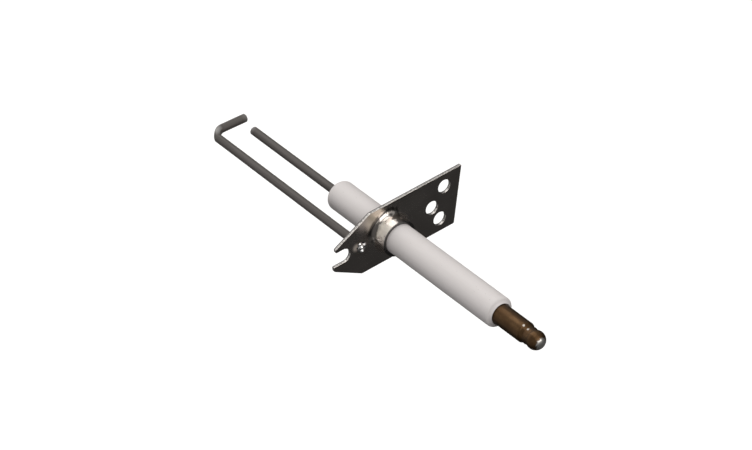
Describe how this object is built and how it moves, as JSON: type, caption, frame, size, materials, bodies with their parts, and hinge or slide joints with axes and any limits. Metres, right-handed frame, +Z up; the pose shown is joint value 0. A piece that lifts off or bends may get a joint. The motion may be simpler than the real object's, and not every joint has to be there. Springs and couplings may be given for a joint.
{
  "type": "ignition electrode",
  "caption": "Burner ignition electrode: ceramic tube in a collared flat bracket, straight spark rod, bent ground rod and a round snap terminal.",
  "frame": {"origin": "on the electrode's axis, in the plane of the bracket's spark-side face", "axes": "+X along the electrode towards the terminal, +Y along the bracket towards its three-hole end, +Z up, across the bracket"},
  "size_m": [0.1474, 0.0484, 0.0194],
  "materials": {
    "bracket_steel": "bright cold-rolled steel, lightly brushed, bare cut edges",
    "alumina": "unglazed fired alumina, matte, off-white",
    "spark_alloy": "oxidised heat-resistant wire, dull dark grey",
    "ground_alloy": "oxidised heat-resistant wire, dull dark grey",
    "weld_metal": "bright solidified weld metal",
    "terminal_brass": "turned brass, darkened brown, satin",
    "cement": "dried refractory cement, matte, slightly grainy"
  },
  "bodies": {
    "root": {"bracket": "bracket_steel", "insulator": "alumina", "spark_rod": "spark_alloy", "ground_rod": "ground_alloy", "ground_rod_weld": "weld_metal", "terminal": "terminal_brass", "front_cement": "cement", "rear_cement": "cement", "collar_cement": "cement"}
  },
  "joints": []
}
